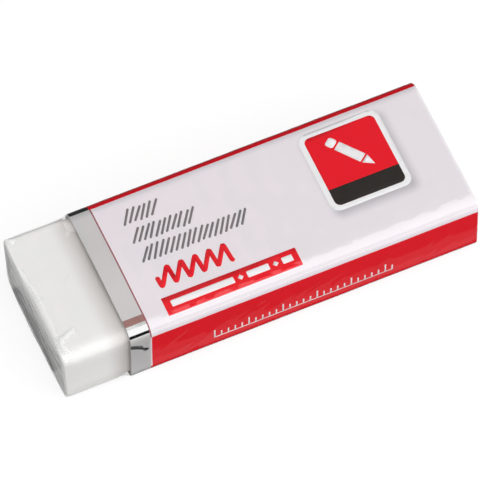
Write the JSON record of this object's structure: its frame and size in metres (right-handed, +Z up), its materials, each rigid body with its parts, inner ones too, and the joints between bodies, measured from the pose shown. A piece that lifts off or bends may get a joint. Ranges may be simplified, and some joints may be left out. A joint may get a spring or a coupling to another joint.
{
  "type": "rubber eraser",
  "caption": "Flat white vinyl desk eraser in a printed card sleeve with one end bare, overwrapped in clear film folded over both ends.",
  "frame": {"origin": "centre of the bottom of the part's box, on the surface it lies on", "axes": "+X along the length, from the bare rubbing end to the sleeve's far end; +Y across the width, to the side where the sleeve is glued; +Z up"},
  "size_m": [0.0606, 0.0222, 0.0115],
  "materials": {
    "vinyl": "satin",
    "printed_card": "gloss",
    "clear_film": "gloss"
  },
  "bodies": {
    "root": {"eraser_block": "vinyl", "sleeve": "printed_card", "film_wrap": "clear_film"}
  },
  "joints": []
}
